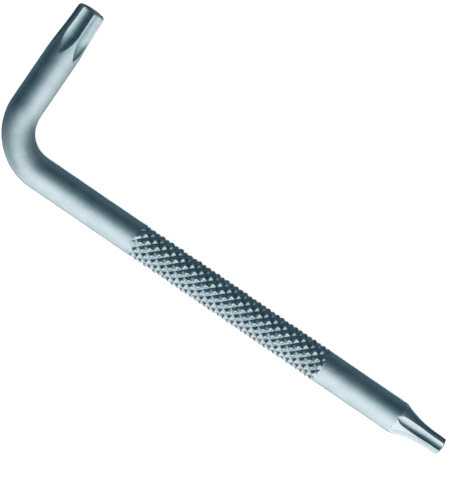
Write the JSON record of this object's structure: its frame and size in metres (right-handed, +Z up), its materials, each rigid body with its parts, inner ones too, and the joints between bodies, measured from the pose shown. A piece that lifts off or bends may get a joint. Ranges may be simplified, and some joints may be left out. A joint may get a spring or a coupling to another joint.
{
  "type": "star key",
  "caption": "Bent steel hand key with a six-lobed star drive at each end, large on the short arm and small on the long arm, and a knurled grip.",
  "frame": {"origin": "middle of the footprint, on the surface that the key lies on", "axes": "+X along the long arm towards the small star, +Y along the short arm towards the large star, +Z up from the surface"},
  "size_m": [0.08, 0.0266, 0.0052],
  "materials": {
    "satin_steel": "satin, finely blasted and plated",
    "knurled_steel": "satin plated, with a rolled diamond knurl"
  },
  "bodies": {
    "root": {"large_star_tip": "satin_steel", "short_shank": "satin_steel", "bend": "satin_steel", "rear_shank": "satin_steel", "knurled_grip": "knurled_steel", "front_shank": "satin_steel", "small_star_tip": "satin_steel"}
  },
  "joints": []
}
